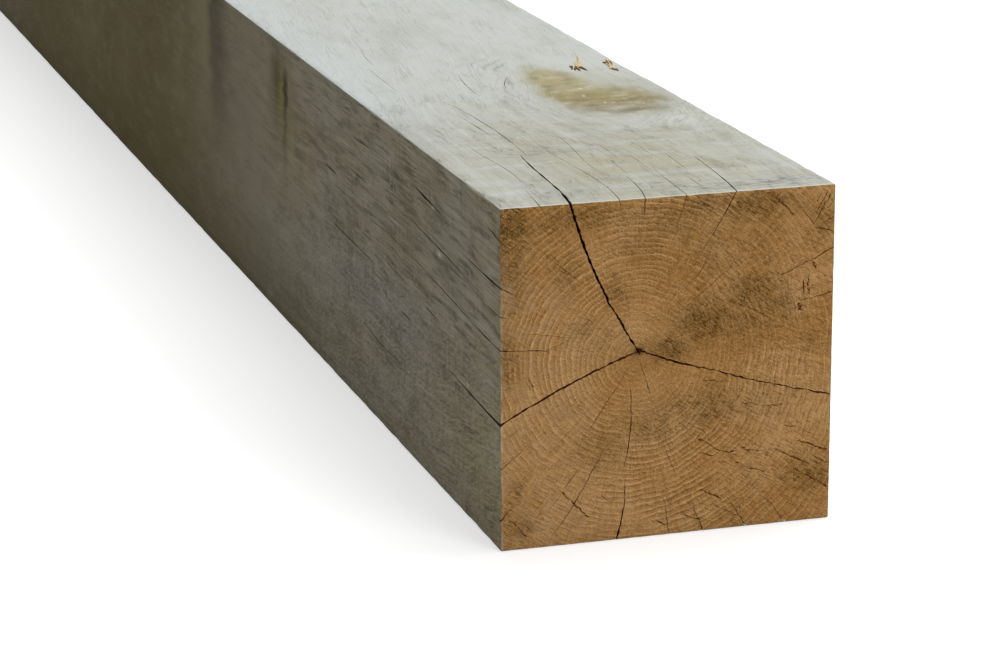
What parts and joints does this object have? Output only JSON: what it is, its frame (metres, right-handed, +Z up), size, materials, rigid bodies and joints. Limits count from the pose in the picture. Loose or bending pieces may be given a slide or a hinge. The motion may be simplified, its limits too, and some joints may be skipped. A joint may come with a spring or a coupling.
{
  "type": "oak beam",
  "caption": "Square-sawn length of weathered oak with the heart of the tree inside it, and a star of drying checks open in its sawn end.",
  "frame": {"origin": "middle of the underside, on the surface that the beam lies on", "axes": "+Y along the beam, away from the sawn end with the star of checks; +X to the right looking at that end; +Z up"},
  "size_m": [0.2, 2.5, 0.2],
  "materials": {
    "oak": "rough sawn and weathered silver-grey, with the sawn end left orange-brown"
  },
  "bodies": {
    "root": {"oak_beam": "oak"}
  },
  "joints": []
}
